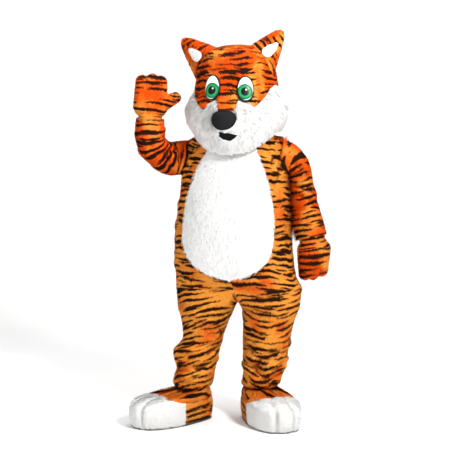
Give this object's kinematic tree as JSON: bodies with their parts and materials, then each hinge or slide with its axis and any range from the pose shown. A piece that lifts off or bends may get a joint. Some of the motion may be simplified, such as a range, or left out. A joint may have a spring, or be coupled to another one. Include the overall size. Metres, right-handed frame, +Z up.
{
  "type": "worn tiger mascot costume set",
  "caption": "Worn full-body plush tiger costume: striped jumpsuit with a white belly, padded paws, big-toed boots and a hollow head, posed with one paw raised to wave.",
  "frame": {"origin": "middle of the shoulder line, where the wearer's shoulders carry the suit, 1.36 m above the soles", "axes": "+Z up along the wearer, the front looks along -Y, +X to the wearer's left"},
  "size_m": [0.9548, 0.5299, 1.8494],
  "materials": {
    "tiger_plush": "short-pile orange plush with black printed tiger stripes",
    "white_pile": "long-pile white fur",
    "black_foam": "black felt over foam",
    "eye_plastic": "moulded eye, glossy",
    "sole_rubber": "flat foam rubber sole",
    "zip_tape": "woven zip tape"
  },
  "bodies": {
    "root": {"back_left": "tiger_plush", "back_right": "tiger_plush", "back_zip": "zip_tape", "belly": "white_pile", "boot_left_heel": "tiger_plush", "boot_left_sole": "sole_rubber", "boot_left_toes": "white_pile", "boot_left_upper": "tiger_plush", "boot_right_heel": "tiger_plush", "boot_right_sole": "sole_rubber", "boot_right_toes": "white_pile", "boot_right_upper": "tiger_plush", "ear_left": "tiger_plush", "ear_left_lining": "white_pile", "ear_right": "tiger_plush", "ear_right_lining": "white_pile", "eye_left": "eye_plastic", "eye_right": "eye_plastic", "face_fur": "white_pile", "front_left": "tiger_plush", "front_right": "tiger_plush", "head_back": "tiger_plush", "head_crown": "tiger_plush", "leg_left": "tiger_plush", "leg_right": "tiger_plush", "mouth": "black_foam", "nose": "black_foam", "paw_left": "tiger_plush", "paw_right": "tiger_plush", "sleeve_left": "tiger_plush", "sleeve_right": "tiger_plush"}
  },
  "joints": []
}
